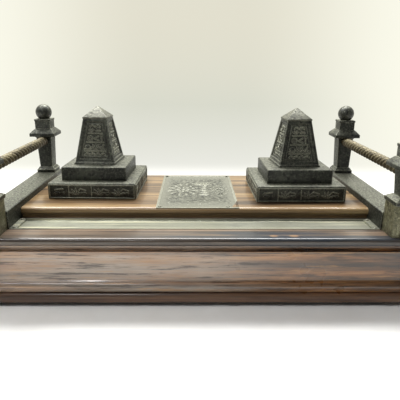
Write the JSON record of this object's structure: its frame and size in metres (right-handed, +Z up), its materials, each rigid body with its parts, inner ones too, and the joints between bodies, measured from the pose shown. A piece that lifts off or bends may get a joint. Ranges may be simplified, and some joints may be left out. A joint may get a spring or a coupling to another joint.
{
  "type": "desk inkstand",
  "caption": "Desk stand: moulded wooden base with a bronze pen tray, hinged obelisk inkwells and rope-rail side galleries.",
  "frame": {"origin": "middle of the base on the table", "axes": "+X along the front to the right, +Y to the back, +Z up"},
  "size_m": [0.369, 0.1913, 0.1423],
  "materials": {
    "rosewood": "French-polished, worn",
    "pine": "plain sawn",
    "bronze": "dark green-brown patina, rubbed edges",
    "pale_bronze": "pale grey-green patina",
    "worn_bronze": "brass showing through olive patina",
    "glass": "clear moulded glass",
    "steel": "plain steel"
  },
  "bodies": {
    "stand": {"back_plinth": "rosewood", "back_rail": "rosewood", "bar_screws": "steel", "bottom_board": "pine", "centre_plaque": "pale_bronze", "corner_blocks": "pine", "corner_leaf_left": "bronze", "corner_leaf_right": "bronze", "deck_board": "rosewood", "feet": "bronze", "foot_screws": "steel", "front_cap_left": "bronze", "front_cap_right": "bronze", "front_finial_left": "bronze", "front_finial_right": "bronze", "front_pedestal_left": "bronze", "front_pedestal_right": "bronze", "front_plinth": "rosewood", "front_post_left": "bronze", "front_post_right": "bronze", "front_rail": "rosewood", "gallery_bar_left": "bronze", "gallery_bar_right": "bronze", "hinge_pin_left": "bronze", "hinge_pin_right": "bronze", "ink_pot_left": "glass", "ink_pot_right": "glass", "left_plinth": "rosewood", "left_rail": "rosewood", "pen_tray": "pale_bronze", "plaque_pins": "bronze", "rear_cap_left": "bronze", "rear_cap_right": "bronze", "rear_finial_left": "bronze", "rear_finial_right": "bronze", "rear_post_left": "bronze", "rear_post_right": "bronze", "right_plinth": "rosewood", "right_rail": "rosewood", "top_board": "rosewood", "tray_pins": "bronze", "twist_rail_left": "worn_bronze", "twist_rail_right": "worn_bronze", "well_base_left": "bronze", "well_base_right": "bronze", "well_bolts": "steel", "well_nuts": "steel"},
    "lid_left": {"lid_left": "bronze", "obelisk_left": "bronze", "pyramidion_left": "pale_bronze", "obelisk_screw_left": "steel"},
    "lid_right": {"lid_right": "bronze", "obelisk_right": "bronze", "pyramidion_right": "pale_bronze", "obelisk_screw_right": "steel"}
  },
  "joints": [
    {"name": "lid_left_hinge", "type": "hinge", "parent": "stand", "child": "lid_left", "pos_m": [-0.08812, 0.04794, 0.0825], "axis": [-0.9996, 0.0279, 0], "range_deg": [0, 100]},
    {"name": "lid_right_hinge", "type": "hinge", "parent": "stand", "child": "lid_right", "pos_m": [0.08997, 0.03935, 0.0825], "axis": [-0.9999, -0.0105, 0], "range_deg": [0, 100]}
  ]
}
